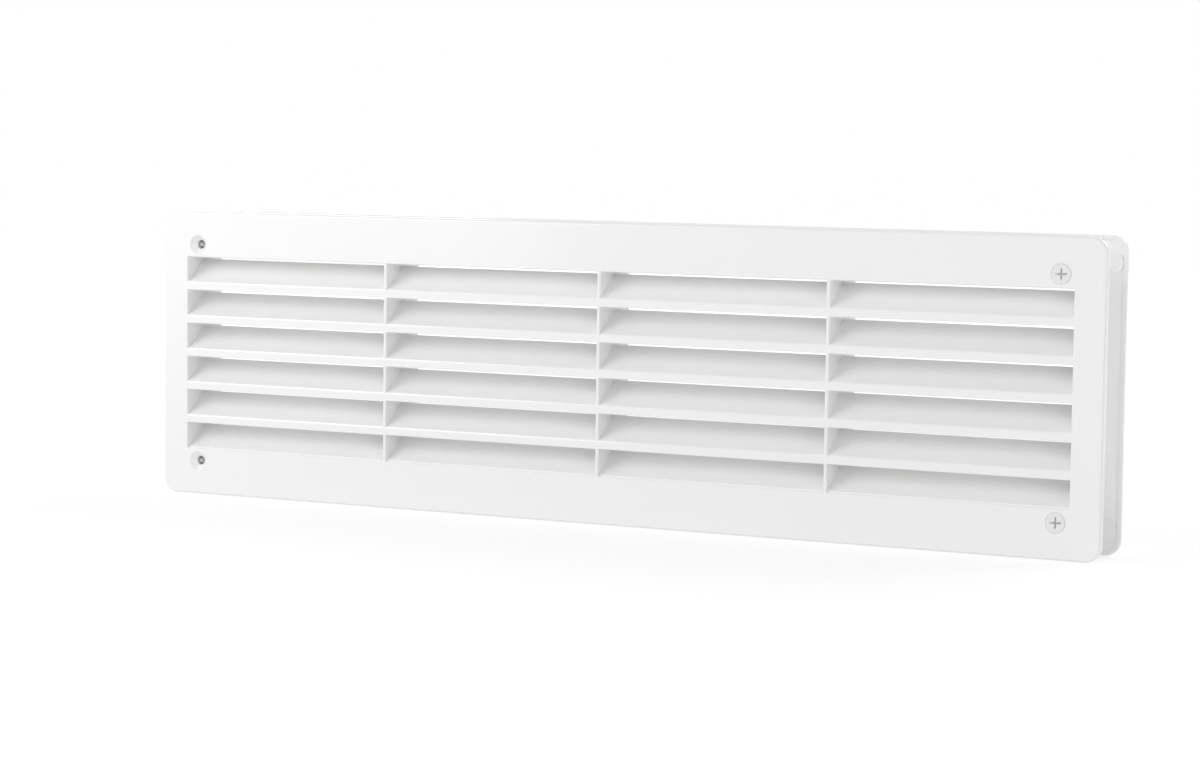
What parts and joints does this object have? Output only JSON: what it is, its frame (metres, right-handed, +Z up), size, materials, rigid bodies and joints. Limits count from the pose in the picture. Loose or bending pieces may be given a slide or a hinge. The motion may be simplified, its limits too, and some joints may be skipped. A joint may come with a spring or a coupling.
{
  "type": "door louver",
  "caption": "Rectangular louvred door vent with matching front and back panels drawn together through the door leaf by countersunk screws.",
  "frame": {"origin": "middle of the assembly, on the plane where the two collars meet", "axes": "+X along the width, +Y through the door from the front face to the back face, +Z up"},
  "size_m": [0.45, 0.0276, 0.129],
  "materials": {
    "panel": "smooth moulded white, glossy",
    "screw": "white lacquer"
  },
  "bodies": {
    "root": {"front_panel": "panel", "back_panel": "panel", "screws": "screw"}
  },
  "joints": []
}
